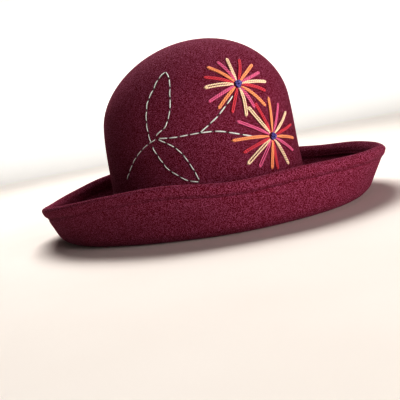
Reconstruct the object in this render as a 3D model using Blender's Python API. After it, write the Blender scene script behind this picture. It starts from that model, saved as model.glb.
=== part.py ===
"""A wool felt cloche hat with a deep round crown and a brim that is rolled up all round.

The hat is one blocked piece of felt: crown, brim and the hem folded in at the rim are a single wall.
Units are metres and +Z is up. The brim's flat underside rests on Z = 0, the front faces -Y and the
wearer's left side faces +X. The origin is in the middle of the hat's box, at its bottom.
"""

import bpy
import bmesh
import numpy as np

# Head opening, measured inside the crown where its wall would meet the resting plane
HEAD_LENGTH = 0.1970
HEAD_WIDTH = 0.1690
FELT_THICKNESS = 0.0020

# Crown, measured on the inner face; the draft is in degrees, and the bend's radius is on the outer face
CROWN_DEPTH = 0.1605
DOME_DEPTH = 0.0628
CROWN_DRAFT = 6.3
CROWN_WAIST = 0.0038
CROWN_LEAN = 0.0047
CROWN_BOW = 0.0054
HEAD_LINE_RADIUS = 0.0070

# Brim, measured on the underside and the outer face of the rolled edge; the flare is in degrees,
# and the roll's radius is on the upper face
BRIM_REACH = 0.0650
BRIM_RISE = 0.0420
BRIM_FLARE = 24.5
ROLL_RADIUS = 0.0140

# Hem, folded towards the crown at the rim
HEM_WIDTH = 0.0090
HEM_GAP = 0.0005

# The rim round the hat: its bearing in degrees from the front towards the wearer's left,
# its reach as a share of BRIM_REACH and its rise as a share of BRIM_RISE
RIM_COLUMNS = [("bearing", float), ("reach", float), ("rise", float)]
RIM_SHAPE = (
    (0, 0.99, 0.96),
    (20, 1.00, 0.93),
    (40, 1.00, 0.94),
    (60, 1.00, 0.92),
    (80, 0.99, 0.98),
    (100, 0.98, 1.04),
    (120, 1.01, 1.10),
    (140, 1.02, 1.13),
    (160, 1.01, 1.09),
    (180, 1.00, 0.91),
    (200, 1.01, 0.79),
    (220, 1.02, 0.86),
    (240, 1.01, 0.95),
    (260, 0.98, 1.06),
    (280, 0.99, 1.10),
    (300, 1.00, 0.98),
    (320, 1.00, 1.01),
    (340, 1.00, 0.98),
)

# The waist's curve t (1 - t) squared is 1 at its deepest when it is multiplied by this
WAIST_CURVE = 27 / 4

# Worked out from the sizes above
SHOULDER_HEIGHT = CROWN_DEPTH - DOME_DEPTH
DRAFT_SLOPE = np.tan(np.radians(CROWN_DRAFT))
WAIST_SLOPE = CROWN_WAIST * WAIST_CURVE / SHOULDER_HEIGHT
BOW_SLOPE = 4 * CROWN_BOW / CROWN_DEPTH
FLARE = np.radians(BRIM_FLARE)
INNER_BEND = HEAD_LINE_RADIUS + FELT_THICKNESS
UNDER_ROLL = ROLL_RADIUS + FELT_THICKNESS
FOLD_RADIUS = FELT_THICKNESS + HEM_GAP / 2

# How many sections go round the hat, and how many rings each stretch of a section has
SECTIONS = 64
DOME_RINGS = 11
WALL_RINGS = 4
HEAD_LINE_RINGS = 4
FLAT_RINGS = 2
ROLL_RINGS = 5
RIM_WALL_RINGS = 3
FOLD_RINGS = 6
HEM_RINGS = 2

FELT_COLOUR = (0.130, 0.016, 0.034, 1.0)


def clear_scene():
    """Start from an empty scene."""
    for item in list(bpy.context.scene.objects):
        bpy.data.objects.remove(item, do_unlink=True)


def section_angles():
    """The oval's angle at each section, from the front towards the wearer's left."""
    return np.arange(SECTIONS) * 2.0 * np.pi / SECTIONS


def round_the_rim(angles, column):
    """A column of the rim table at every section, on a smooth closed curve.

    Between two rows the curve is a cubic, and its slope at a row is that of the line between its neighbours.
    """
    table = np.array(list(RIM_SHAPE), dtype=RIM_COLUMNS)
    bearings = np.radians(table["bearing"])
    row = np.searchsorted(bearings, angles, side="right") - 1

    def near_row(step):
        turns, index = np.divmod(row + step, len(table))
        return bearings[index] + 2.0 * np.pi * turns, table[column][index]

    angle_a, share_a = near_row(-1)
    angle_b, share_b = near_row(0)
    angle_c, share_c = near_row(1)
    angle_d, share_d = near_row(2)
    span = angle_c - angle_b
    t = (angles - angle_b) / span
    slope_b = span * (share_c - share_a) / (angle_c - angle_a)
    slope_c = span * (share_d - share_b) / (angle_d - angle_b)
    return (
        (2 * t**3 - 3 * t**2 + 1) * share_b
        + (t**3 - 2 * t**2 + t) * slope_b
        + (3 * t**2 - 2 * t**3) * share_c
        + (t**3 - t**2) * slope_c
    )


def crown_ring(angles, height, shrink):
    """Ring of the crown's inner face: the head oval, drawn in by draft and waist and shrunk in the dome.

    Its centre bows back half way up the crown and leans forward at the top.
    """
    wall_share = np.minimum(height / SHOULDER_HEIGHT, 1.0)
    inset = DRAFT_SLOPE * height + CROWN_WAIST * WAIST_CURVE * wall_share * (1 - wall_share) ** 2
    share = height / CROWN_DEPTH
    lean = CROWN_LEAN * share**2 - 4 * CROWN_BOW * share * (1 - share)
    across = (HEAD_WIDTH / 2 - inset) * shrink
    along = (HEAD_LENGTH / 2 - inset) * shrink
    return np.column_stack([
        across * np.sin(angles),
        -along * np.cos(angles) - lean,
        np.broadcast_to(height, angles.shape),
    ])


def brim_ring(angles, outward, height):
    """Ring of the brim: the head oval grown outwards along its own normal, at the given height."""
    normal = np.column_stack([np.sin(angles) / HEAD_WIDTH, -np.cos(angles) / HEAD_LENGTH])
    normal /= np.linalg.norm(normal, axis=1)[:, None]
    oval = np.column_stack([np.sin(angles) * HEAD_WIDTH / 2, -np.cos(angles) * HEAD_LENGTH / 2])
    flat = oval + normal * np.reshape(outward, (-1, 1))
    return np.column_stack([flat, np.broadcast_to(height, angles.shape)])


def crown_rings(angles):
    """The crown from just under its top down to the bend at the head line."""
    bend_top, _, _ = head_line_bend(angles)
    rings = []
    for step in range(1, DOME_RINGS + 1):
        climb = np.pi / 2 * (1 - step / DOME_RINGS)
        rings.append(crown_ring(angles, SHOULDER_HEIGHT + DOME_DEPTH * np.sin(climb), np.cos(climb)))
    for step in range(1, WALL_RINGS):
        height = SHOULDER_HEIGHT + (bend_top - SHOULDER_HEIGHT) * step / WALL_RINGS
        rings.append(crown_ring(angles, height, 1.0))
    return rings


def head_line_bend(angles):
    """Height where the bend at the head line starts, how far it turns, and how far out the flat starts."""
    turn = np.pi / 2 - np.arctan(DRAFT_SLOPE + WAIST_SLOPE + BOW_SLOPE * np.cos(angles))
    return INNER_BEND * (1 - np.cos(turn)), turn, INNER_BEND * np.tan(turn / 2)


def head_line_rings(angles):
    """The bend from the crown's wall out to the flat of the brim."""
    _, turn, flat_start = head_line_bend(angles)
    rings = []
    for step in range(HEAD_LINE_RINGS + 1):
        left = turn * (1 - step / HEAD_LINE_RINGS)
        outward = flat_start - INNER_BEND * np.sin(left)
        rings.append(brim_ring(angles, outward, INNER_BEND * (1 - np.cos(left))))
    return rings


def rim_edge(angles):
    """Where the outer face meets the fold at the rim: how far out and how high."""
    edge_out = BRIM_REACH * round_the_rim(angles, "reach") - FOLD_RADIUS * (1 - np.cos(FLARE))
    edge_up = BRIM_RISE * round_the_rim(angles, "rise") - FOLD_RADIUS * (1 + np.sin(FLARE))
    return edge_out, edge_up


def rolled_rings(angles):
    """The flat of the brim, its roll upwards and the flared wall up to the rim."""
    _, _, flat_start = head_line_bend(angles)
    edge_out, edge_up = rim_edge(angles)
    roll_up = UNDER_ROLL * (1 - np.sin(FLARE))
    roll_end = edge_out - (edge_up - roll_up) * np.tan(FLARE)
    roll_start = roll_end - UNDER_ROLL * np.cos(FLARE)

    rings = []
    for step in range(1, FLAT_RINGS):
        rings.append(brim_ring(angles, flat_start + (roll_start - flat_start) * step / FLAT_RINGS, 0.0))
    for step in range(ROLL_RINGS + 1):
        turn = (np.pi / 2 - FLARE) * step / ROLL_RINGS
        outward = roll_start + UNDER_ROLL * np.sin(turn)
        rings.append(brim_ring(angles, outward, UNDER_ROLL * (1 - np.cos(turn))))
    for step in range(1, RIM_WALL_RINGS):
        share = step / RIM_WALL_RINGS
        outward = roll_end + (edge_out - roll_end) * share
        rings.append(brim_ring(angles, outward, roll_up + (edge_up - roll_up) * share))
    return rings


def hem_rings(angles):
    """The fold at the rim and the hem that hangs inside it, down to its cut edge."""
    edge_out, edge_up = rim_edge(angles)
    centre_out = edge_out - FOLD_RADIUS * np.cos(FLARE)
    centre_up = edge_up + FOLD_RADIUS * np.sin(FLARE)
    hem_out = centre_out - FOLD_RADIUS * np.cos(FLARE)
    hem_up = centre_up + FOLD_RADIUS * np.sin(FLARE)

    rings = []
    for step in range(FOLD_RINGS + 1):
        turn = np.pi * step / FOLD_RINGS - FLARE
        outward = centre_out + FOLD_RADIUS * np.cos(turn)
        rings.append(brim_ring(angles, outward, centre_up + FOLD_RADIUS * np.sin(turn)))
    for step in range(1, HEM_RINGS + 1):
        down = HEM_WIDTH * step / HEM_RINGS
        rings.append(brim_ring(angles, hem_out - down * np.sin(FLARE), hem_up - down * np.cos(FLARE)))
    return rings


def centre_on_origin(rings, apex):
    """Move all points so that the middle of their box lies over the origin."""
    points = np.concatenate(rings)
    middle = (points.min(axis=0) + points.max(axis=0)) / 2
    middle[2] = 0.0
    return [ring - middle for ring in rings], apex - middle


def felt_face(rings, apex):
    """Mesh of the felt's inner and under face, from the top of the crown to the hem's cut edge."""
    bm = bmesh.new()
    top = bm.verts.new(apex)
    loops = [[bm.verts.new(point) for point in ring] for ring in rings]
    for here in range(SECTIONS):
        there = (here + 1) % SECTIONS
        bm.faces.new((top, loops[0][there], loops[0][here]))
        for upper, lower in zip(loops, loops[1:]):
            bm.faces.new((upper[here], upper[there], lower[there], lower[here]))
    mesh = bpy.data.meshes.new("felt_hat")
    bm.to_mesh(mesh)
    bm.free()
    return mesh


def felt_material():
    """Matt burgundy wool felt."""
    material = bpy.data.materials.new("felt")
    material.use_nodes = True
    shader = material.node_tree.nodes["Principled BSDF"]
    shader.inputs["Base Color"].default_value = FELT_COLOUR
    shader.inputs["Roughness"].default_value = 0.95
    shader.inputs["Metallic"].default_value = 0.0
    material.diffuse_color = FELT_COLOUR
    return material


def make_hat():
    """The whole hat as one wall of felt."""
    angles = section_angles()
    rings = crown_rings(angles) + head_line_rings(angles) + rolled_rings(angles) + hem_rings(angles)
    apex = np.array([0.0, -CROWN_LEAN, CROWN_DEPTH])
    rings, apex = centre_on_origin(rings, apex)

    hat = bpy.data.objects.new("felt_hat", felt_face(rings, apex))
    bpy.context.scene.collection.objects.link(hat)
    hat.data.materials.append(felt_material())
    wall = hat.modifiers.new("felt wall", 'SOLIDIFY')
    wall.thickness = FELT_THICKNESS
    wall.offset = -1.0
    wall.use_even_offset = True
    wall.use_quality_normals = True
    hat.data.shade_smooth()
    return hat


clear_scene()
make_hat()
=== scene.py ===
# %% [markdown]
# # A felt cloche hat with a rolled brim
# The real hat is one piece of burgundy wool felt, steamed and pulled over a block. Its crown is deep
# and round, and its brim runs out flat and then rolls up all round. The rim is folded in and stitched
# down as a hem, and one side of the crown is embroidered with two flowers on a running stitch stem.
# This lesson builds it from formulas: each surface is a function of two parameters, worked out with
# numpy for all its points at once, and put into a Blender mesh.

# %% The frame and the tools
import bpy
import numpy as np
from mathutils import Euler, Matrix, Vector


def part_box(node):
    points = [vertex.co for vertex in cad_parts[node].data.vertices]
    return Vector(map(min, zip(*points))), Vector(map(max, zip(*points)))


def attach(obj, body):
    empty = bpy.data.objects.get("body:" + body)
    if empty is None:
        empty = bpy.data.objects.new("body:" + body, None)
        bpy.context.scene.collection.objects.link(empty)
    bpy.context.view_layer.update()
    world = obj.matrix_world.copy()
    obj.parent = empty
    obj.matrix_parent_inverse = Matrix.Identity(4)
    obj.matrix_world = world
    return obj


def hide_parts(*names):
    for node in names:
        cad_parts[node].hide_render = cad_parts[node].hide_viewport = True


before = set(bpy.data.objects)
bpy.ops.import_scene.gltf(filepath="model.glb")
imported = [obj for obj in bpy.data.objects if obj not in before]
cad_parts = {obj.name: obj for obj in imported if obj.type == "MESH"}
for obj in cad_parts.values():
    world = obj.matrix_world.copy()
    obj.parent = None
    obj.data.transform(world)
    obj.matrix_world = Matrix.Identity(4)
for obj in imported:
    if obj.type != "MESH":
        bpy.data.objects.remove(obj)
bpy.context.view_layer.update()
hat_low, hat_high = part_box("felt_hat")
print("Parts in the frame:", sorted(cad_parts))
print("The hat's box in metres:", [round(side, 4) for side in hat_high - hat_low])

# %% [markdown]
# ## The sizes of the hat
# A hat is blocked to a head size, so the head opening comes first, and the crown and the brim are
# given from it. They are the solid model's own sizes, in metres, so the two shapes agree. Lengths on
# the crown are measured on its inner face, and those on the brim on its underside.

# %% Sizes
HEAD_LENGTH = 0.1970
HEAD_WIDTH = 0.1690
FELT = 0.0020
CROWN_DEPTH = 0.1605
DOME_DEPTH = 0.0628
CROWN_DRAFT = np.radians(6.3)
CROWN_WAIST = 0.0038
CROWN_LEAN = 0.0047
CROWN_BOW = 0.0054
BRIM_REACH = 0.0650
BRIM_RISE = 0.0420
FLARE = np.radians(24.5)
HEM_WIDTH = 0.0090

SHOULDER = CROWN_DEPTH - DOME_DEPTH
# The waist follows share * (1 - share)**2, whose peak is 4 / 27, so this brings its peak to one
WAIST_CURVE = 27 / 4
HEAD_LINE_BEND = 0.0070 + FELT
UNDER_ROLL = 0.0140 + FELT
FOLD_RADIUS = FELT + 0.0005 / 2
print("Crown", CROWN_DEPTH, "m deep over a head opening", HEAD_LENGTH, "by", HEAD_WIDTH)

# %% [markdown]
# ## The waves of the rim
# A rolled brim is turned up by hand, so its edge isn't quite level. A table gives how far out and how
# high the rim is at a few bearings, as shares of the full reach and rise. Between its rows a smooth
# cubic curve is better than straight lines, which would show as kinks in the felt.

# %% The rim round the hat
# Bearing in degrees from the front towards the wearer's left, share of the reach, share of the rise
RIM = np.array([
    (0, 0.99, 0.96), (20, 1.00, 0.93), (40, 1.00, 0.94), (60, 1.00, 0.92), (80, 0.99, 0.98),
    (100, 0.98, 1.04), (120, 1.01, 1.10), (140, 1.02, 1.13), (160, 1.01, 1.09), (180, 1.00, 0.91),
    (200, 1.01, 0.79), (220, 1.02, 0.86), (240, 1.01, 0.95), (260, 0.98, 1.06), (280, 0.99, 1.10),
    (300, 1.00, 0.98), (320, 1.00, 1.01), (340, 1.00, 0.98),
])
REACH_COLUMN = 1
RISE_COLUMN = 2


def round_the_rim(angles, column):
    """A column of the rim table at every angle, on a smooth closed curve.

    Between two rows it is the cubic that meets both, with the slope between each row's neighbours.
    """
    rows = len(RIM)
    step = 2 * np.pi / rows
    row = np.floor(angles / step).astype(int)
    t = angles / step - row
    before, here, there, after = (RIM[(row + shift) % rows, column] for shift in (-1, 0, 1, 2))
    slope_here = (there - before) / 2
    slope_there = (after - here) / 2
    return (
        (2 * t**3 - 3 * t**2 + 1) * here
        + (t**3 - 2 * t**2 + t) * slope_here
        + (3 * t**2 - 2 * t**3) * there
        + (t**3 - t**2) * slope_there
    )


rises = BRIM_RISE * RIM[:, RISE_COLUMN]
print("The rim is", rises.min().round(4), "to", rises.max().round(4), "m high")

# %% [markdown]
# ## The crown as a formula
# Seen from above, the crown is an oval. It draws in a little as it rises, has a slight waist above the
# brim, and shrinks to a point over the dome like the quarter of an ellipse. The oval's centre shifts
# forwards and back with height, which gives the crown its lean. One function of an angle and a height
# gives all of it.

# %% Places on the crown and the brim
# The middle of the hat's box, seen from the middle of the head opening
MIDDLE = np.array([0.0, 0.000325, 0.0])


def crown_place(angles, height, shrink):
    """Points of the crown's inner face.

    Across, x is the half width less the inset, times the shrink and the sine of the angle. Along, y is
    the same with the half length and the cosine, less the lean. The inset is the draft's slope times
    the height, plus the waist. The lean is a square of the height less a bow, deepest half way up.
    """
    wall = np.minimum(height / SHOULDER, 1.0)
    inset = np.tan(CROWN_DRAFT) * height + CROWN_WAIST * WAIST_CURVE * wall * (1 - wall) ** 2
    share = height / CROWN_DEPTH
    lean = CROWN_LEAN * share**2 - 4 * CROWN_BOW * share * (1 - share)
    x = (HEAD_WIDTH / 2 - inset) * shrink * np.sin(angles)
    y = -(HEAD_LENGTH / 2 - inset) * shrink * np.cos(angles) - lean
    return np.stack(np.broadcast_arrays(x, y, height), axis=-1) - MIDDLE


def brim_place(angles, outward, height):
    """Points of the brim: the head oval grown outwards along its own normal, at the given height."""
    normal = np.stack([np.sin(angles) / HEAD_WIDTH, -np.cos(angles) / HEAD_LENGTH])
    normal = normal / np.linalg.norm(normal, axis=0)
    x = np.sin(angles) * HEAD_WIDTH / 2 + normal[0] * outward
    y = -np.cos(angles) * HEAD_LENGTH / 2 + normal[1] * outward
    return np.stack(np.broadcast_arrays(x, y, height), axis=-1) - MIDDLE


print("Top of the crown's inner face:", crown_place(np.zeros(1), np.array([CROWN_DEPTH]), 0.0).round(4))

# %% [markdown]
# ## The section, from the top of the crown to the cut edge of the hem
# All round the hat the felt follows one section: dome, wall, the bend at the head line, the flat that
# the hat rests on, the roll, the flared wall, the fold at the rim and the hem behind it. Each stretch
# is a block of rows, and each row is a ring round the hat. The rows are close together near the rim,
# where the stitched hem needs small forms, and wide apart on the plain wall.

# %% Rows of the section
COLUMNS = 300
DOME_ROWS = 34
WALL_ROWS = 22
BEND_ROWS = 13
FLAT_ROWS = 6
ROLL_ROWS = 17
PLAIN_ROWS = 9
BAND_ROWS = 22
FOLD_ROWS = 13
HEM_ROWS = 20
BAND_DEPTH = 0.0100
FLARE_PLACE = 22
FLARE_SPREAD = 30
EXTRA_FLARE = np.radians(3)
angles = (np.arange(COLUMNS) * 2 * np.pi / COLUMNS)[None, :]
# The slope of the wall's inset at the head line
CROWN_FALL = np.tan(CROWN_DRAFT) + CROWN_WAIST * WAIST_CURVE / SHOULDER


def steps(count):
    """A column of even shares from zero to one, leaving out the zero."""
    return np.linspace(0, 1, count + 1)[1:, None]


def shares(count):
    """A column of even shares from zero to one, with both ends."""
    return np.linspace(0, 1, count)[:, None]


def head_line(angles):
    """How far the bend at the head line turns, and how far out the flat of the brim starts."""
    turn = np.pi / 2 - np.arctan(CROWN_FALL + 4 * CROWN_BOW / CROWN_DEPTH * np.cos(angles))
    return turn, HEAD_LINE_BEND * np.tan(turn / 2)


def flare(angles):
    """How far the brim's wall leans out, with a bell curve that widens it at the front left."""
    off_place = np.degrees(angles) - FLARE_PLACE - 360 * (angles > np.pi)
    return FLARE + EXTRA_FLARE * np.exp(-((off_place / FLARE_SPREAD) ** 2))


def rim_edge(angles):
    """How far out and how high the outer face meets the fold at the rim."""
    out = BRIM_REACH * round_the_rim(angles, REACH_COLUMN) - FOLD_RADIUS * (1 - np.cos(flare(angles)))
    up = BRIM_RISE * round_the_rim(angles, RISE_COLUMN) - FOLD_RADIUS * (1 + np.sin(flare(angles)))
    return out, up


def crown_rows(angles):
    """Dome, wall and head line bend. In the dome the height follows a sine and the shrink its cosine."""
    turn, flat_start = head_line(angles)
    climb = np.pi / 2 * (1 - steps(DOME_ROWS))
    dome = crown_place(angles, SHOULDER + DOME_DEPTH * np.sin(climb), np.cos(climb))
    bend_top = HEAD_LINE_BEND * (1 - np.cos(turn))
    wall = crown_place(angles, SHOULDER + (bend_top - SHOULDER) * steps(WALL_ROWS)[:-1], 1.0)
    left = turn * (1 - shares(BEND_ROWS))
    bend_out = flat_start - HEAD_LINE_BEND * np.sin(left)
    bend = brim_place(angles, bend_out, HEAD_LINE_BEND * (1 - np.cos(left)))
    return [dome, wall, bend]


def brim_rows(angles):
    """Flat, roll and flared wall, which gets close rows over the depth of the stitched band."""
    _, flat_start = head_line(angles)
    edge_out, edge_up = rim_edge(angles)
    lean = flare(angles)
    roll_up = UNDER_ROLL * (1 - np.sin(lean))
    roll_end = edge_out - (edge_up - roll_up) * np.tan(lean)
    roll_start = roll_end - UNDER_ROLL * np.cos(lean)
    flat = brim_place(angles, flat_start + (roll_start - flat_start) * steps(FLAT_ROWS)[:-1], 0.0)
    turn = (np.pi / 2 - lean) * shares(ROLL_ROWS)
    roll_out = roll_start + UNDER_ROLL * np.sin(turn)
    roll = brim_place(angles, roll_out, UNDER_ROLL * (1 - np.cos(turn)))
    band = 1 - BAND_DEPTH * np.cos(lean) / (edge_up - roll_up)
    share = np.concatenate([steps(PLAIN_ROWS) * band, band + (1 - band) * steps(BAND_ROWS)[:-1]])
    wall_out = roll_end + (edge_out - roll_end) * share
    wall = brim_place(angles, wall_out, roll_up + (edge_up - roll_up) * share)
    return [flat, roll, wall]


def hem_rows(angles):
    """The fold, half a turn round a point inside the rim, and the hem that runs back down from it."""
    edge_out, edge_up = rim_edge(angles)
    lean = flare(angles)
    centre_out = edge_out - FOLD_RADIUS * np.cos(lean)
    centre_up = edge_up + FOLD_RADIUS * np.sin(lean)
    turn = np.pi * shares(FOLD_ROWS) - lean
    fold_out = centre_out + FOLD_RADIUS * np.cos(turn)
    fold = brim_place(angles, fold_out, centre_up + FOLD_RADIUS * np.sin(turn))
    down = HEM_WIDTH * steps(HEM_ROWS)
    hem_out = centre_out - FOLD_RADIUS * np.cos(lean) - down * np.sin(lean)
    hem_up = centre_up + FOLD_RADIUS * np.sin(lean) - down * np.cos(lean)
    return [fold, brim_place(angles, hem_out, hem_up)]


blocks = crown_rows(angles) + brim_rows(angles) + hem_rows(angles)
face = np.concatenate(blocks)
print("Rows in each stretch:", [len(block) for block in blocks])

# %% [markdown]
# ## The felt's thickness and its small forms
# The other face of the felt lies two millimetres away along the surface's own direction, which is the
# cross product of the steps along a ring and along the section. Hand-blocked felt is never perfectly
# even, so broad shallow swells shift both faces. The crown is a little fuller at its front left, and
# the rim is tucked in at one place and set lower at another. Below the rim the stitches pull the outer
# face into a soft groove, harder in some stretches than in others, and the felt between the groove and
# the fold puffs out.

# %% Direction, swells and the stitched band
STITCH_DEPTH = 0.0066
GROOVE_WIDTH = 0.0020
GROOVE_DEPTH = 0.00050
PUFF_HEIGHT = 0.00100
PUFF_LENGTH = 0.0092
PUFF_PAST_FOLD = 0.0022
HEM_SINK = 0.00080
SINK_START = 0.0068
SINK_LENGTH = 0.0022
EVEN_PULL = 0.45
PULL_WAVES = 0.3
SWELL_DEPTH = 0.00022
# How many rows before the fold have small forms
FORMED_ROWS = 25

# Single places: the middle of a bell curve, its spread and its depth, all in metres
FULLER = (np.array([0.035, -0.078, 0.072]), 0.045, 0.0020)
WIDE_TUCK = (np.array([-0.088, 0.134, 0.031]), 0.055, 0.0013)
NARROW_TUCK = (np.array([-0.088, 0.134, 0.031]), 0.016, 0.0020)
DROP = (np.array([0.028, -0.161, 0.040]), 0.024, 0.0017)

# Stretches of the rim: bearing and spread in degrees, and how much stronger the pull or flatter the puff
PULLS = ((302, 20, 0.85), (220, 19, 1.6), (240, 9, 1.6), (257, 13, -0.35))
FLATTER = ((257, 13, 0.5), (220, 19, 0.4))


def unit(vectors):
    """Vectors made one long."""
    return vectors / np.maximum(np.linalg.norm(vectors, axis=-1, keepdims=True), 1e-12)


def face_direction(points):
    """Direction out of the felt: the step along each ring crossed with the step along the section."""
    along_ring = np.roll(points, -1, axis=1) - np.roll(points, 1, axis=1)
    return unit(np.cross(along_ring, np.gradient(points, axis=0)))


def bell(points, place, spread, depth):
    """The depth times a bell curve of the distance from a place."""
    return depth * np.exp(-((np.linalg.norm(points - place, axis=-1) / spread) ** 2))


def swells(points):
    """Broad unevenness, two products of waves that fade out towards the flat, less the fuller place."""
    x, y, z = points[..., 0], points[..., 1], points[..., 2]
    slow = np.sin(31 * x + 19 * z + 0.6) * np.cos(27 * y - 23 * z)
    quick = np.sin(57 * y + 41 * z + 1.9) * np.cos(49 * x)
    fade = np.clip((z - 0.002) / 0.02, 0, 1)
    return SWELL_DEPTH * (slow + 0.6 * quick) * fade - bell(points, *FULLER)


def moved_rim(points):
    """How two places of the rim move: one at the back right goes in, and one at the front goes down."""
    inwards = bell(points, *WIDE_TUCK) + bell(points, *NARROW_TUCK)
    level = unit(points * np.array([1.0, 1.0, 0.0]))
    return -inwards[..., None] * level - bell(points, *DROP)[..., None] * np.array([0.0, 0.0, 1.0])


def smooth_step(values):
    """Zero below zero, one above one, and a smooth rise between."""
    held = np.clip(values, 0, 1)
    return held * held * (3 - 2 * held)


def bump_at(distance, place, width):
    """A rounded hump of height one at a distance, which falls off over the width."""
    return np.exp(-(((distance - place) / width) ** 2))


def humps(table, bearings):
    """The sum of a table's humps at bearings round the hat."""
    return sum(strength * bump_at(bearings, place, spread) for place, spread, strength in table)


outward = face_direction(face)
middle = face + outward * swells(face)[..., None] + moved_rim(face)
*before_fold, fold, _ = blocks
wall_end = sum(len(block) for block in before_fold)
fold_end = wall_end + len(fold)
below_fold = np.linalg.norm(face - face[wall_end - 1], axis=-1)
below_fold[wall_end:fold_end] = 0.0
below_fold[fold_end:] = np.linalg.norm(face[fold_end:] - face[fold_end - 1], axis=-1)
on_band = (np.arange(len(face)) >= wall_end - FORMED_ROWS)[:, None]
on_hem = (np.arange(len(face)) >= fold_end)[:, None]
bearings = np.degrees(angles)
waves = PULL_WAVES * np.sin(9 * angles + 0.5) * np.sin(23 * angles)
pull = EVEN_PULL + waves + humps(PULLS, bearings)
groove = bump_at(below_fold, STITCH_DEPTH, GROOVE_WIDTH) * pull * np.where(on_hem, 0.5, 1.0)
along_puff = np.clip((below_fold + PUFF_PAST_FOLD) / PUFF_LENGTH, 0, 1)
puff = np.sin(np.pi * along_puff) * (1 - humps(FLATTER, bearings))
pressed = on_hem * smooth_step((below_fold - SINK_START) / SINK_LENGTH)
form = PUFF_HEIGHT * puff - GROOVE_DEPTH * groove - HEM_SINK * pressed
small_form = np.where(on_band, form, 0.0)
near_face = middle + outward * small_form[..., None]
far_face = middle - outward * FELT
print("Small forms reach", small_form.max().round(5), "out and", small_form.min().round(5), "in")

# %% [markdown]
# ## One closed wall
# The two faces and the hem's cut edge become one closed surface, with a single point at the top of
# each face. The cut edge is half a circle from face to face, because felt has no sharp corners.

# %% The hat's mesh


def closed_surface(name, rows, first, last):
    """A surface of rings with a point at each end. Four neighbours make a face, and an end is a fan."""
    count, columns = rows.shape[:2]
    points = np.concatenate([[first], rows.reshape(-1, 3), [last]])
    index = 1 + np.arange(count * columns).reshape(count, columns)
    across = np.roll(index, -1, axis=1)
    quads = np.stack([index[:-1], across[:-1], across[1:], index[1:]], axis=-1).reshape(-1, 4)
    start = np.stack([np.zeros(columns, int), across[0], index[0]], axis=-1)
    end = np.stack([index[-1], across[-1], np.full(columns, len(points) - 1)], axis=-1)
    mesh = bpy.data.meshes.new(name)
    mesh.from_pydata(points.tolist(), [], start.tolist() + quads.tolist() + end.tolist())
    mesh.shade_smooth()
    piece = bpy.data.objects.new(name, mesh)
    bpy.context.scene.collection.objects.link(piece)
    return piece


cut_turn = np.pi * np.linspace(0, 1, 7)[1:-1, None, None]
cut_middle = (near_face[-1] + far_face[-1]) / 2
cut_out = (near_face[-1] - far_face[-1]) / 2
cut_down = unit(face[-1] - face[-2]) * FELT / 2
cut_edge = cut_middle + cut_out * np.cos(cut_turn) + cut_down * np.sin(cut_turn)
top_inside = crown_place(0.0, CROWN_DEPTH, 0.0)
hat = closed_surface(
    "felt_hat_body",
    np.concatenate([near_face, cut_edge, far_face[::-1]]),
    top_inside,
    top_inside + np.array([0.0, 0.0, FELT]),
)
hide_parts("felt_hat")
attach(hat, "root")
print("The felt has", len(hat.data.polygons), "faces")

# %% [markdown]
# ## Materials as arithmetic
# A node tree is easier to read as a sum than as a web of boxes. The class below wraps one output of a
# node, and adding or multiplying such values adds the Math nodes. Everything that isn't arithmetic
# comes from its one method for nodes.

# %% Shader values


class Value:
    """One output socket in a material. Arithmetic on values adds Math nodes."""

    def __init__(self, tree, socket=None):
        self.tree = tree
        self.socket = socket

    def node(self, kind, settings, inputs, output=0):
        """A new node of a kind: its settings are set first, then its sockets are filled or linked."""
        made = self.tree.nodes.new(kind)
        for name, setting in settings.items():
            setattr(made, name, setting)
        for name, given in inputs.items():
            if isinstance(given, Value):
                self.tree.links.new(given.socket, made.inputs[name])
            else:
                made.inputs[name].default_value = given
        return Value(self.tree, made.outputs[output])

    def maths(self, operation, *values):
        """A Math node on this value and others."""
        return self.node("ShaderNodeMath", {"operation": operation}, dict(enumerate((self,) + values)))

    def __add__(self, other):
        return self.maths("ADD", other)

    __radd__ = __add__

    def __mul__(self, other):
        return self.maths("MULTIPLY", other)

    __rmul__ = __mul__

    def __sub__(self, other):
        return self.maths("SUBTRACT", other)

    def __rsub__(self, other):
        return self * -1.0 + other

    def ramp(self, low, high):
        """Zero below low and one above high, with a smooth step between them."""
        settings = {"interpolation_type": "SMOOTHSTEP"}
        inputs = {"Value": self, "From Min": low, "From Max": high}
        return self.node("ShaderNodeMapRange", settings, inputs)

    def noise(self, scale, detail=2.0, roughness=0.5):
        """Smooth noise read at this place, about one over the scale in size."""
        inputs = {"Vector": self, "Scale": scale, "Detail": detail, "Roughness": roughness}
        return self.node("ShaderNodeTexNoise", {}, inputs)

    def between(self, colour_a, colour_b):
        """A colour that goes from a to b as this value goes from zero to one.

        A Mix node's sockets 6 and 7 are its two colours, and its output 2 is the mixed one.
        """
        inputs = {"Factor": self, 6: colour_a, 7: colour_b}
        return self.node("ShaderNodeMix", {"data_type": "RGBA"}, inputs, output=2)


def new_material(name):
    """An empty material with its Principled shader, and a value from which its nodes are made."""
    material = bpy.data.materials.new(name)
    material.use_nodes = True
    tree = material.node_tree
    shader = tree.nodes["Principled BSDF"]
    return material, shader, Value(tree)


def shade(red, green, blue):
    """A colour as seen on a screen, from 0 to 255, as the light it stands for."""
    seen = np.array([red, green, blue]) / 255
    light = np.where(seen <= 0.04045, seen / 12.92, ((seen + 0.055) / 1.055) ** 2.4)
    return (*light.tolist(), 1.0)


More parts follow.
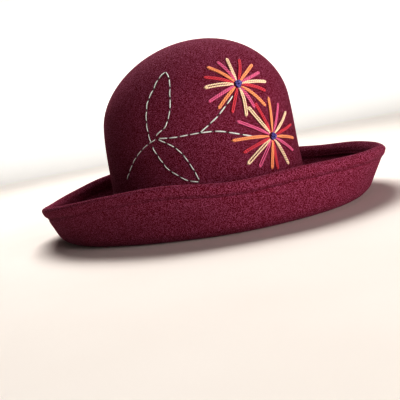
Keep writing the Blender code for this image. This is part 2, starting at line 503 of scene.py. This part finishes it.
def finish_material(shader, base, roughness, height, strength, distance, sheen, sheen_tint):
    """Joins colour, roughness and bump to the shader, and sets its sheen, which is the same all over."""
    links = base.tree.links
    links.new(base.socket, shader.inputs["Base Color"])
    links.new(roughness.socket, shader.inputs["Roughness"])
    inputs = {"Height": height, "Strength": strength, "Distance": distance}
    bump = base.node("ShaderNodeBump", {}, inputs)
    links.new(bump.socket, shader.inputs["Normal"])
    shader.inputs["Sheen Weight"].default_value = sheen
    shader.inputs["Sheen Roughness"].default_value = 0.25
    shader.inputs["Sheen Tint"].default_value = sheen_tint
    shader.inputs["Specular IOR Level"].default_value = 0.10


# %% [markdown]
# ## Wool felt
# Felt has no weave. Its fibres lie in all directions and their ends stand up as a short nap, so up
# close it is a mottle of tiny dark and light specks, softer clouds a centimetre or two wide, and here
# and there a curly fibre. It has no shine, but its nap catches light along its edges, which is sheen.

# %% The felt
FELT_DEEP = (96, 7, 28)
FELT_NAP = (149, 88, 113)
NAP_SHEEN = (255, 175, 195)


def felt_material():
    """Specks, and a little of tufts, clouds and curly fibres, mix the deep burgundy with the nap's."""
    material, shader, start = new_material("felt_burgundy")
    place = start.node("ShaderNodeTexCoord", {}, {}, output="Object")
    specks = place.noise(1450.0, 2.0, 0.6)
    tufts = place.noise(420.0, 2.0, 0.55)
    clouds = place.noise(55.0, 2.0, 0.5)
    curls = place.noise(240.0, 1.0, 0.5)
    fibre = 1.0 - (curls - 0.5).maths("ABSOLUTE").ramp(0.0, 0.022)
    light = (specks * 0.92 + tufts * 0.06 + clouds * 0.03 + fibre * 0.05).ramp(0.43, 0.62)
    base = light.between(shade(*FELT_DEEP), shade(*FELT_NAP))
    height = specks * 0.6 + tufts * 0.5 + fibre * 0.35
    roughness = 0.97 - light * 0.10
    tint = shade(*NAP_SHEEN)
    finish_material(
        shader, base, roughness, height, strength=0.6, distance=0.0007, sheen=0.11, sheen_tint=tint
    )
    return material


hat.data.materials.append(felt_material())
print("Felt material on", hat.name)

# %% [markdown]
# ## Yarn as a tube
# Embroidery yarn is two plies twisted round each other. A plain tube would look like plastic, so the
# tube's radius swells twice round each ring, and the swelling turns along the path, which leaves two
# soft ridges that wind like a rope. The same twist goes into the UV map for the material.

# %% Tubes along many paths at once


def lengths_along(paths):
    """Distance from the start of each path to each of its points."""
    hops = np.linalg.norm(np.diff(paths, axis=1), axis=-1)
    return np.concatenate([np.zeros((len(paths), 1)), np.cumsum(hops, axis=1)], axis=1)


def yarn_tubes(name, groups, sides, ply_depth, ply_turn):
    """One piece of many tubes. A group is its paths, the directions away from the felt and the radii.

    A ring's point is the path's point plus the radius times cosine along the side and sine along the
    outward direction. The radius is one plus the ply depth times the cosine of twice the angle less
    the twist. Along the tube, the map named twist gives metres and the one named reach gives a share.
    """
    turn = 2 * np.pi * np.arange(sides) / sides
    points, faces, uvs, reach, start = [], [], [], [], 0
    for paths, away, radii in groups:
        tangent = unit(np.gradient(paths, axis=1))
        side = unit(np.cross(tangent, away))
        upward = np.cross(side, tangent)
        along = lengths_along(paths)
        ply = 1 + ply_depth * np.cos(2 * turn - 4 * np.pi * along[..., None] / ply_turn)
        ring = np.broadcast_to(radii, along.shape)[..., None] * ply
        rings = (
            paths[:, :, None]
            + (ring * np.cos(turn))[..., None] * side[:, :, None]
            + (ring * np.sin(turn))[..., None] * upward[:, :, None]
        )
        count, length = along.shape
        index = start + np.arange(count * length * sides).reshape(count, length, sides)
        across = np.roll(index, -1, axis=2)
        quads = np.stack([index[:, :-1], index[:, 1:], across[:, 1:], across[:, :-1]], axis=-1)
        round_share = np.broadcast_to(np.arange(sides) / sides, index.shape)
        height = np.broadcast_to(along[..., None], index.shape)
        left = round_share[:, :-1]
        right = left + 1 / sides
        u = np.stack([left, left, right, right], axis=-1)
        v = np.stack([height[:, :-1], height[:, 1:], height[:, 1:], height[:, :-1]], axis=-1)
        share = v / along[:, -1].reshape(-1, 1, 1, 1)
        points.append(rings.reshape(-1, 3))
        faces += quads.reshape(-1, 4).tolist() + index[:, 0].tolist() + index[:, -1, ::-1].tolist()
        ends = np.zeros((2 * count * sides, 2))
        uvs += [np.stack([u, v], axis=-1).reshape(-1, 2), ends]
        reach += [np.stack([share, share], axis=-1).reshape(-1, 2), ends]
        start += count * length * sides
    mesh = bpy.data.meshes.new(name)
    mesh.from_pydata(np.concatenate(points).tolist(), [], faces)
    mesh.uv_layers.new(name="twist").data.foreach_set("uv", np.concatenate(uvs).ravel())
    mesh.uv_layers.new(name="reach").data.foreach_set("uv", np.concatenate(reach).ravel())
    mesh.shade_smooth()
    piece = bpy.data.objects.new(name, mesh)
    bpy.context.scene.collection.objects.link(piece)
    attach(piece, "root")
    return piece


# %% [markdown]
# ## Laying yarn on the crown
# A flower is designed flat, as on a paper card that touches the crown at the flower's centre. Each
# point of the card is then pushed straight down onto the felt. The angle and the height on the crown
# under it start as a guess, and each step corrects them by how far the place still misses and by the
# surface's slopes. All points of a colour's petals are corrected at the same time.

# %% From a flat card to the crown
SMALL_TURN = 1e-4
SMALL_RISE = 1e-5
CORRECTIONS = 8
LONGEST_TURN = 0.3
LONGEST_RISE = 0.02
LOWEST_YARN = 0.012
TOP_MARGIN = 1e-6


def crown_outside(angles, height):
    """Points and directions of the crown's outer face at angles and heights."""

    def inside(angle, up):
        up = np.minimum(up, CROWN_DEPTH - TOP_MARGIN)
        dome = np.clip((up - SHOULDER) / DOME_DEPTH, 0, 1)
        return crown_place(angle, up, np.sqrt(1 - dome**2))

    here = inside(angles, height)
    round_step = inside(angles + SMALL_TURN, height) - inside(angles - SMALL_TURN, height)
    up_step = inside(angles, height + SMALL_RISE) - inside(angles, height - SMALL_RISE)
    away = unit(np.cross(round_step, up_step))
    return here + away * (FELT - swells(here)[..., None]), away


def card_at(bearing, height):
    """The flat card at a place on the crown: its centre, and its ways forwards, up and out."""
    centre, out = crown_outside(np.radians(bearing), np.array(height))
    higher, _ = crown_outside(np.radians(bearing), np.array(height) + SMALL_RISE)
    up = unit(higher - centre)
    up = unit(up - out * (up @ out))
    return centre, np.cross(up, out), up, out


def lay_down(bearing, height, forwards, upwards):
    """Points and directions on the crown under flat card places, found by correcting a guess."""
    centre, ahead, up, _ = card_at(bearing, height)
    angle = np.full(forwards.shape, np.radians(bearing))
    level = np.full(forwards.shape, height)
    for _ in range(CORRECTIONS):
        here, _ = crown_outside(angle, level)
        by_angle = (crown_outside(angle + SMALL_TURN, level)[0] - here) / SMALL_TURN
        by_level = (crown_outside(angle, level + SMALL_RISE)[0] - here) / SMALL_RISE
        miss_ahead = forwards - (here - centre) @ ahead
        miss_up = upwards - (here - centre) @ up
        a, b, c, d = by_angle @ ahead, by_level @ ahead, by_angle @ up, by_level @ up
        area = a * d - b * c
        turn = (miss_ahead * d - miss_up * b) / area
        rise = (miss_up * a - miss_ahead * c) / area
        angle = angle + np.clip(turn, -LONGEST_TURN, LONGEST_TURN)
        level = level + np.clip(rise, -LONGEST_RISE, LONGEST_RISE)
        level = np.clip(level, LOWEST_YARN, CROWN_DEPTH)
    return crown_outside(angle, level)


# %% [markdown]
# ## The flowers
# Each petal is a detached chain stitch. The needle comes up beside the centre, the yarn runs out, round
# and back in a narrow loop, and a tiny stitch over the loop's end holds it down. So a petal shows two
# strands side by side and a small pointed tip. The petals are made by eye, and their lengths and
# directions differ, so each has a row in a table. The colours go round in the same order of four.

# %% The petals' tables
STRAND = 0.00070
PETAL_START = 0.0022
PETAL_POINTS = 90
TIE_POINTS = 14
TIE_INSIDE = 0.0024
TIE_LENGTH = 0.0038
END_DIP = 0.0016
DIP_LENGTH = 0.0030
FADE_IN = 0.0010
PETAL_TWIST = 0.0042

# The yarns' colours, as red, green and blue on a screen
COLOURS = {
    "yellow": (252, 229, 199),
    "red": (218, 94, 108),
    "orange": (252, 180, 137),
    "pink": (228, 128, 163),
}

# Direction in degrees from up towards the front, then length, gap between strands and bend in mm
UPPER_FLOWER = np.array([
    (358.5, 25.2, 0.1, -0.8), (23.5, 24.9, 0.0, 0.6), (50, 25.7, 0.1, 0.0), (69.5, 25.2, 0.0, 0.4),
    (90, 27.2, 0.2, -0.5), (108, 25.3, 0.1, -0.6), (133.5, 29.1, 0.1, -0.5), (154, 23.0, 0.1, 0.0),
    (177, 26.4, 0.3, -1.0), (205, 24.0, 0.1, 0.3), (231.5, 25.9, 0.1, 0.5), (251, 28.3, 0.1, 0.0),
    (276.5, 27.0, 0.6, 0.5), (296, 27.3, 0.1, 0.3), (317, 27.9, 0.1, 0.5), (337.5, 25.3, 0.1, 0.3),
])
LOWER_FLOWER = np.array([
    (5.5, 32.4, 0.0, 0.2), (28.5, 29.4, 0.0, 0.0), (53, 29.7, 0.2, 0.3), (78, 30.0, 0.0, 0.0),
    (101, 29.8, 0.1, -0.3), (124.5, 28.2, 0.1, 0.0), (155.5, 28.6, 0.5, -0.6), (184.5, 27.9, 0.1, 0.4),
    (197, 27.6, 0.3, 0.0), (220.5, 29.8, 0.4, 0.4), (237.5, 33.6, 0.7, 0.8), (254.5, 30.9, 0.1, 0.5),
    (275, 36.5, 0.1, 0.6), (300.5, 35.1, 0.1, 0.0), (325.5, 33.1, 0.4, -0.8), (338, 31.6, 0.1, 0.0),
])
# Bearing in degrees, height in metres, petals, and the order of the colours
FLOWERS = {
    "upper_flower": (319.4, 0.1114, UPPER_FLOWER, ("yellow", "red", "orange", "pink")),
    "lower_flower": (336.6, 0.0644, LOWER_FLOWER, ("orange", "pink", "yellow", "red")),
}
print("Petals:", len(UPPER_FLOWER), "and", len(LOWER_FLOWER))

# %% One colour of petals


def petal_loops(table):
    """Flat loops: out along one strand, half a circle at the tip, and back along the other.

    The distance walked decides which of the three it is. The strands lie close at the centre and part
    smoothly to their full spacing, and the whole petal bends sideways by half a sine.
    """
    length, gap, bend = (table[:, column, None] / 1000 for column in (1, 2, 3))
    half = STRAND + gap / 2
    straight = length - half - PETAL_START
    walked = (2 * straight + np.pi * half) * np.linspace(0, 1, PETAL_POINTS)
    tip_turn = np.clip((walked - straight) / half, 0, np.pi)
    on_way_back = np.maximum(walked - straight - np.pi * half, 0)
    out = PETAL_START + np.minimum(walked, straight) + half * np.sin(tip_turn) - on_way_back
    share = (out - PETAL_START) / (length - PETAL_START)
    parting = 0.30 + 0.70 * smooth_step(share / 0.35)
    aside = -np.cos(tip_turn) * half * parting + bend * np.sin(np.pi * share)
    from_end = np.minimum(walked, walked[:, -1:] - walked)
    dip = END_DIP * (1 - smooth_step(from_end / DIP_LENGTH))
    rise = STRAND * (0.75 + 0.5 * np.sin(np.pi * share)) - dip
    squeeze = 0.62 + 0.38 * smooth_step(share / 0.30)
    radius = STRAND * squeeze * (0.4 + 0.6 * smooth_step(from_end / FADE_IN))
    return out, aside, rise, radius


def petal_ties(table):
    """The short stitch over each loop's end: out of the loop, over its yarn and into the felt."""
    share = np.linspace(0, 1, TIE_POINTS)[None, :]
    length = table[:, 1, None] / 1000
    out = length - TIE_INSIDE + TIE_LENGTH * share
    rise = STRAND * (2.7 * np.sin(np.pi * np.clip(share * 1.02, 0, 1)) ** 0.8 - 1.0)
    radius = 0.62 * STRAND * np.sin(np.pi * (0.08 + 0.84 * share)) ** 0.4
    return out, np.zeros_like(out), rise, radius


def on_the_crown(flower, table, flat):
    """Turns flat petal paths to their own direction, lays them down and lifts them off the felt."""
    bearing, height = flower[:2]
    out, aside, rise, radius = flat
    turn = np.radians(table[:, 0, None])
    forwards = out * np.sin(turn) + aside * np.cos(turn)
    upwards = out * np.cos(turn) - aside * np.sin(turn)
    felt, away = lay_down(bearing, height, forwards, upwards)
    return felt + away * rise[..., None], away, radius


petals = {}
for flower_name, flower in FLOWERS.items():
    for place, colour in enumerate(flower[3]):
        rows = flower[2][place :: len(COLOURS)]
        groups = [on_the_crown(flower, rows, make(rows)) for make in (petal_loops, petal_ties)]
        piece_name = f"{flower_name}_{colour}_petals"
        piece = yarn_tubes(piece_name, groups, sides=10, ply_depth=0.10, ply_turn=PETAL_TWIST)
        petals[flower_name, colour] = piece
print("Petal pieces:", [piece.name for piece in petals.values()])

# %% [markdown]
# ## The knots
# A knot of navy yarn covers the place where the petals meet. It is a French knot: the yarn is wound
# round the needle and pulled down, so it sits as a small bun of turns. Its path is a spiral that climbs
# as it closes, and slow waves along it keep the turns from being even.

# %% The knots
KNOT_TURNS = 1.8
KNOT_RADIUS = 0.0023
KNOT_YARN = 0.00076
KNOT_LIFT = 0.0010
KNOT_CLIMB = 0.0012
KNOT_WAVES = 0.0005
KNOT_CENTRE = 0.0002
KNOT_POINTS = 120
KNOT_TWIST = 0.0044


def knot_path(flower):
    """A spiral of nearly two turns, whose radius falls and whose height rises to the middle."""
    bearing, height = flower[:2]
    share = np.linspace(0, 1, KNOT_POINTS)[None, :]
    turn = 2 * np.pi * KNOT_TURNS * share
    wander = 1 + 0.16 * np.sin(2.6 * turn + bearing)
    radius = KNOT_RADIUS * (1 - share**1.7) * wander + KNOT_CENTRE
    felt, _ = lay_down(bearing, height, radius * np.sin(turn), radius * np.cos(turn))
    out = card_at(bearing, height)[3]
    rise = KNOT_LIFT + KNOT_CLIMB * smooth_step(share * 1.1)
    rise = rise + KNOT_WAVES * np.sin(2.3 * turn + bearing)
    away = np.broadcast_to(out, felt.shape)
    return felt + out * rise[..., None], away, np.full(share.shape, KNOT_YARN)


groups = [knot_path(flower) for flower in FLOWERS.values()]
knots = yarn_tubes("flower_knots", groups, sides=12, ply_depth=0.34, ply_turn=KNOT_TWIST)
print("Knots:", len(FLOWERS))

# %% [markdown]
# ## The stem and the leaves
# Stem and leaves are running stitch in a silver grey thread: short stitches that nearly meet. Each line
# is drawn as a smooth curve through a few places on the crown, and then cut into stitches of even
# length, each a little arch whose ends dip into the felt. The branches have the longest and thickest
# stitches, and the tail has the shortest and thinnest.

# %% Lines of running stitch
# Places on the crown: bearing in degrees and height in mm
STEM_LINES = {
    "stem": ((270.5, 79.8), (275.3, 78.9), (281, 78.3), (287, 78.4), (293.5, 78.4)),
    "upper_branch": (
        (293.5, 78.4), (298, 82.5), (300.5, 85.1), (304.3, 89), (308, 94), (311.4, 98.6), (315, 103.5),
    ),
    "lower_branch": (
        (293.5, 78.4), (300.5, 77.6), (305.5, 76.2), (311.3, 73.3), (317.3, 70.2), (323, 67.3),
    ),
    "tail": ((268.8, 80.2), (267.7, 78.9), (263.4, 76.4), (257.3, 71), (251.3, 63.5), (242.4, 48.6)),
    "high_leaf_back": (
        (266.0, 76.8), (265.2, 81), (264.6, 87.9), (264.4, 94.6), (264.9, 104.6), (265.6, 111.5),
        (268.6, 120.5), (270.5, 127), (274.7, 132.2),
    ),
    "high_leaf_front": (
        (269, 81.7), (270.9, 84.1), (274.1, 86.8), (275.7, 88.9), (278.2, 96.7), (279.4, 105.4),
        (279.3, 112.7), (279.1, 120.5), (277.7, 127.3), (274.7, 132.2),
    ),
    "low_leaf_back": (
        (266.1, 74.4), (267.4, 69), (270.1, 60.9), (273, 53.4), (277.1, 47.7), (282.2, 41.6),
        (288.4, 38.6),
    ),
    "low_leaf_front": (
        (270, 79.3), (273.8, 75.7), (278.2, 71.1), (282.1, 64.6), (284.9, 56.4), (287.1, 48.1),
        (288.6, 39.9),
    ),
}

# Length and radius of a stitch
BRANCH_STITCH = (0.0095, 0.00084)
LEAF_STITCH = (0.0081, 0.00076)
TAIL_STITCH = (0.0076, 0.00062)
STITCH_GAP = 0.0003
STITCH_ARCH = 0.00040
STITCH_SINK = 0.00060
THREAD_TWIST = 0.0024


def through_places(places):
    """A smooth curve through places. Between two it is a cubic with the slopes of their neighbours."""
    table = np.array(places, dtype=float)
    table = np.concatenate([[2 * table[0] - table[1]], table, [2 * table[-1] - table[-2]]])
    share = np.linspace(0, len(places) - 1, 40 * len(places))[:-1]
    row = share.astype(int)
    t = (share - row)[:, None]
    before, here, there, after = (table[row + shift] for shift in range(4))
    curve = 0.5 * (
        2 * here
        + (there - before) * t
        + (2 * before - 5 * here + 4 * there - after) * t**2
        + (3 * here - before - 3 * there + after) * t**3
    )
    return np.concatenate([curve, table[-2:-1]])


def stitch_paths(line, away, long, gap, arch, sink, radius, rings, wobble):
    """Cuts a line into stitches.

    Along each, the height is a power of half a sine, less how deep its ends sink.
    """
    along = lengths_along(line[None])[0]
    count = max(1, int((along[-1] + gap) / (long + gap)))
    pitch = (along[-1] + gap) / count
    number = np.arange(count)[:, None]
    share = np.linspace(0, 1, rings)[None, :]
    uneven = wobble * np.sin(number * 2.4 + along[-1] * 900)
    at = number * pitch + (pitch - gap) * (0.5 + (share - 0.5) * (1 + uneven))
    points = np.stack([np.interp(at, along, line[:, axis]) for axis in range(3)], axis=-1)
    out = unit(np.stack([np.interp(at, along, away[:, axis]) for axis in range(3)], axis=-1))
    rise = (arch + sink) * np.sin(np.pi * share) ** 0.55 - sink
    thickness = radius * (0.55 + 0.45 * np.sin(np.pi * share) ** 0.5)
    return points + out * rise[..., None], out, np.broadcast_to(thickness, at.shape)


def stitch_size(name):
    """Length and radius of a line's stitches: the largest on the branches, the smallest on the tail."""
    if "branch" in name:
        return BRANCH_STITCH
    if name == "tail":
        return TAIL_STITCH
    return LEAF_STITCH


groups = []
for name, places in STEM_LINES.items():
    curve = through_places(places)
    line, away = crown_outside(np.radians(curve[:, 0]), curve[:, 1] / 1000)
    long, thick = stitch_size(name)
    sizes = (long, STITCH_GAP, STITCH_ARCH, STITCH_SINK, thick)
    groups.append(stitch_paths(line, away, *sizes, rings=17, wobble=0.04))
leaves = yarn_tubes("stem_and_leaves", groups, sides=8, ply_depth=0.08, ply_turn=THREAD_TWIST)
print("Running stitches:", sum(len(group[0]) for group in groups))

# %% [markdown]
# ## The hem's topstitch
# A machine row in thread of the felt's own colour holds the hem down. It lies in the groove, on the
# outer face and on the hem's face alike. There are hundreds of stitches, so each has few faces.

# %% Topstitch round the rim
# Length, gap, arch, sink and radius of a topstitch
TOPSTITCH = (0.0029, 0.0006, 0.00022, 0.00030, 0.00026)


def closed_line(rows, row):
    """A row with its first point again at the end."""
    return np.concatenate([rows[row], rows[row, :1]])


outer_row = int(np.abs(below_fold[:wall_end, 0] - STITCH_DEPTH).argmin())
hem_row = fold_end + int(np.abs(below_fold[fold_end:, 0] - STITCH_DEPTH).argmin())
groups = []
for row in (outer_row, hem_row):
    line = closed_line(near_face, row)
    away = closed_line(outward, row)
    groups.append(stitch_paths(line, away, *TOPSTITCH, rings=5, wobble=0.0))
topstitch = yarn_tubes("rim_topstitch", groups, sides=5, ply_depth=0.0, ply_turn=1.0)
print("Topstitches:", sum(len(group[0]) for group in groups))

# %% [markdown]
# ## Yarn and thread
# The yarn's colour is painted darker between its plies, as painted shade where little light gets in,
# and fine streaks run along the plies. Both patterns read the tube's UV map: the first number goes
# once round the tube, and the second is the distance along it in metres. Thread also gets painted
# shade where a stitch sinks into the nap, at its ends and along its sides.

# %% Yarn materials
# Share of the thread's colour left in the painted shade where a stitch sinks
SUNK_SHADE = 0.06
WHITE = (1.0, 1.0, 1.0, 1.0)


def yarn_material(name, colour, turn_length, sheen=0.35, dip_shade=0.0, groove=0.48):
    """Painted shade in the grooves between the plies, and streaks of noise drawn out along the twist.

    Groove is the share of the full colour that the painted shade in the grooves keeps. The fifth
    argument is how far a stitch gets painted shade where it sinks, at its ends and along its sides.
    """
    material, shader, start = new_material(name)
    twist = start.node("ShaderNodeUVMap", {"uv_map": "twist"}, {})
    around = twist.node("ShaderNodeSeparateXYZ", {}, {"Vector": twist}, output="X")
    along = twist.node("ShaderNodeSeparateXYZ", {}, {"Vector": twist}, output="Y")
    wound = around - along * (1 / turn_length)
    ply = (wound * (4 * np.pi)).maths("COSINE") * 0.5 + 0.5
    place = wound.node("ShaderNodeCombineXYZ", {}, {"X": wound * 9.0, "Y": along * 260.0, "Z": 0.0})
    streak = place.noise(1.6, 2.0, 0.6)
    tone = (ply * 0.72 + streak * 0.46).ramp(0.08, 0.78)
    reach = start.node("ShaderNodeUVMap", {"uv_map": "reach"}, {})
    share = reach.node("ShaderNodeSeparateXYZ", {}, {"Vector": reach}, output="X")
    # Painted shade on the tube's sides and at a stitch's ends, where it sinks into the felt
    top = (around * (2 * np.pi)).maths("SINE").ramp(0.40, 0.85)
    unshaded = (share * (1.0 - share)).ramp(0.08, 0.16) * top * dip_shade + (1 - dip_shade)
    light = np.array(shade(*colour))
    # Painted shade in the grooves between the plies, a share of the full colour
    deep = (*(light[:3] * groove).tolist(), 1.0)
    # The painted shade where a stitch sinks is nearly black
    sunk_shade = (*(light[:3] * SUNK_SHADE).tolist(), 1.0)
    base = unshaded.between(sunk_shade, tone.between(deep, tuple(light.tolist())))
    height = ply * 0.5 + streak * 0.6
    roughness = 0.80 - streak * 0.12
    finish_material(
        shader, base, roughness, height, strength=0.5, distance=0.0003, sheen=sheen, sheen_tint=WHITE
    )
    return material


for colour, seen in COLOURS.items():
    material = yarn_material(f"yarn_{colour}", seen, PETAL_TWIST)
    for flower_name in FLOWERS:
        petals[flower_name, colour].data.materials.append(material)
# The knots' grooves get an almost black painted shade, and both threads get painted shade where their
# stitches sink
navy = yarn_material("yarn_navy", (132, 124, 190), KNOT_TWIST, groove=0.02)
grey = yarn_material("thread_grey", (236, 240, 234), THREAD_TWIST, dip_shade=0.95)
burgundy = yarn_material("thread_burgundy", (126, 46, 70), 0.0020, sheen=0.1, dip_shade=0.4)
for piece, material in ((knots, navy), (leaves, grey), (topstitch, burgundy)):
    piece.data.materials.append(material)
print("Yarn materials:", len(COLOURS) + 3)

# %% [markdown]
# ## Floor, light and camera
# The hat rests on a pale floor whose edge curves up far away, so no line cuts the picture, and where it
# rises behind the hat it glows softly. A wide low light on the picture's right shapes the crown and the
# brim, a high one from behind lights the top and the floor, and a faint one on the left keeps that side
# from going black. A high contrast look and a gamma under one deepen the felt. The camera looks from
# low down at the hat's right side, a little turned about its own line of sight.

# %% Floor
FLOOR_FLAT = 1.6
FLOOR_BEND = 1.4
FLOOR_LEVEL = -0.0001
FLOOR_TURNS = 96
FLOOR_RINGS = 40
PAPER_TONES = ((228, 222, 215), (234, 229, 223))
BEHIND_HAT = (0.90, 0.43, 0.0)
GLOW = (0.66, 0.66, 0.65, 1.0)
NO_GLOW = (0.0, 0.0, 0.0, 1.0)


def floor_place(turns, share):
    """A round floor, flat out to its middle radius and then rising in a quarter circle."""
    bend = np.pi / 2 * np.clip(share * 2 - 1, 0, 1)
    radius = FLOOR_FLAT * np.minimum(share * 2, 1.0) + FLOOR_BEND * np.sin(bend)
    height = FLOOR_BEND * (1 - np.cos(bend)) + FLOOR_LEVEL
    place = np.broadcast_arrays(radius * np.sin(turns), -radius * np.cos(turns), height)
    return np.stack(place, axis=-1)


turns = (np.arange(FLOOR_TURNS) * 2 * np.pi / FLOOR_TURNS)[None, :]
rings = floor_place(turns, steps(FLOOR_RINGS))
index = 1 + np.arange(rings[..., 0].size).reshape(rings.shape[:2])
across = np.roll(index, -1, axis=1)
faces = np.stack([index[:-1], index[1:], across[1:], across[:-1]], axis=-1).reshape(-1, 4).tolist()
faces += np.stack([np.zeros(FLOOR_TURNS, int), index[0], across[0]], axis=-1).tolist()
floor_mesh = bpy.data.meshes.new("floor")
floor_mesh.from_pydata([(0.0, 0.0, FLOOR_LEVEL)] + rings.reshape(-1, 3).tolist(), [], faces)
floor_mesh.shade_smooth()
floor = bpy.data.objects.new("floor", floor_mesh)
bpy.context.scene.collection.objects.link(floor)


def floor_material():
    """Pale matt paper with the faintest mottle, and a soft glow far out behind the hat."""
    material, shader, start = new_material("floor_paper")
    place = start.node("ShaderNodeTexCoord", {}, {}, output="Object")
    base = place.noise(9.0, 2.0).between(shade(*PAPER_TONES[0]), shade(*PAPER_TONES[1]))
    length = {"operation": "LENGTH"}
    distance = place.node("ShaderNodeVectorMath", length, {0: place}, output="Value")
    height = place.node("ShaderNodeSeparateXYZ", {}, {"Vector": place}, output="Z")
    product = {"operation": "DOT_PRODUCT"}
    behind = place.node("ShaderNodeVectorMath", product, {0: place, 1: BEHIND_HAT}, output="Value")
    lit = distance.ramp(0.6, 2.6) * (1.0 - height.ramp(0.80, 1.15)) * behind.ramp(0.2, 2.2)
    glow = lit.between(NO_GLOW, GLOW)
    base.tree.links.new(base.socket, shader.inputs["Base Color"])
    base.tree.links.new(glow.socket, shader.inputs["Emission Color"])
    shader.inputs["Emission Strength"].default_value = 1.0
    shader.inputs["Roughness"].default_value = 0.9
    return material


floor_mesh.materials.append(floor_material())
print("Floor radius in metres:", round(float(-rings[-1, 0, 1]), 2))

# %% Light
LIGHT_AIM = Vector((0, 0, 0.07))
LIGHT_DISTANCE = 1.4
LIGHT_LIFT = 0.01
NEARLY_WHITE = (1.0, 0.98, 0.97)
FAINTLY_WARM = (1.0, 0.97, 0.96)


def soft_light(name, bearing, elevation, width, height, power, colour):
    """A rectangular area light that faces the hat, from a bearing and an elevation in degrees."""
    light = bpy.data.lights.new(name, "AREA")
    light.shape = "RECTANGLE"
    light.size = width
    light.size_y = height
    light.energy = power
    light.color = colour
    side, climb = np.radians(bearing), np.radians(elevation)
    flat = LIGHT_DISTANCE * np.cos(climb)
    up = LIGHT_DISTANCE * np.sin(climb) + LIGHT_LIFT
    place = Vector((flat * np.sin(side), -flat * np.cos(side), up))
    holder = bpy.data.objects.new(name, light)
    holder.visible_camera = False
    holder.location = place
    holder.rotation_euler = (LIGHT_AIM - place).to_track_quat("-Z", "Y").to_euler()
    bpy.context.scene.collection.objects.link(holder)


# Name, bearing and elevation in degrees, width, height, power, colour
soft_light("key_light", -27, 10, 1.0, 0.45, 15.6, NEARLY_WHITE)
soft_light("fill_light", -90, 14, 1.0, 0.6, 0.4, FAINTLY_WARM)
soft_light("back_light", 125, 62, 0.9, 0.9, 20.5, NEARLY_WHITE)
world = bpy.data.worlds.new("studio")
world.use_nodes = True
world.node_tree.nodes["Background"].inputs["Strength"].default_value = 0.0
bpy.context.scene.world = world
view = bpy.context.scene.view_settings
view.view_transform = "Standard"
view.look = "High Contrast"
view.gamma = 0.88
print("Lights:", [lamp.name for lamp in bpy.data.lights])

# %% Camera
CAMERA_PLACE = Vector((-0.5261, -0.2431, 0.0871))
CAMERA_AIM = Vector((-0.0075, 0.0094, 0.0144))
CAMERA_ROLL = np.radians(-10.46)
CAMERA_LENS = 54.73

camera = bpy.data.objects.new("camera", bpy.data.cameras.new("camera"))
facing = (CAMERA_AIM - CAMERA_PLACE).to_track_quat("-Z", "Y")
camera.location = CAMERA_PLACE
camera.rotation_euler = (facing @ Euler((0, 0, CAMERA_ROLL)).to_quaternion()).to_euler()
camera.data.lens = CAMERA_LENS
camera.data.sensor_width = 36.0
camera.data.clip_start = 0.01
bpy.context.scene.collection.objects.link(camera)
bpy.context.scene.camera = camera
print("The camera is", round((CAMERA_AIM - CAMERA_PLACE).length, 3), "m from its aim")

bpy.context.view_layer.update()
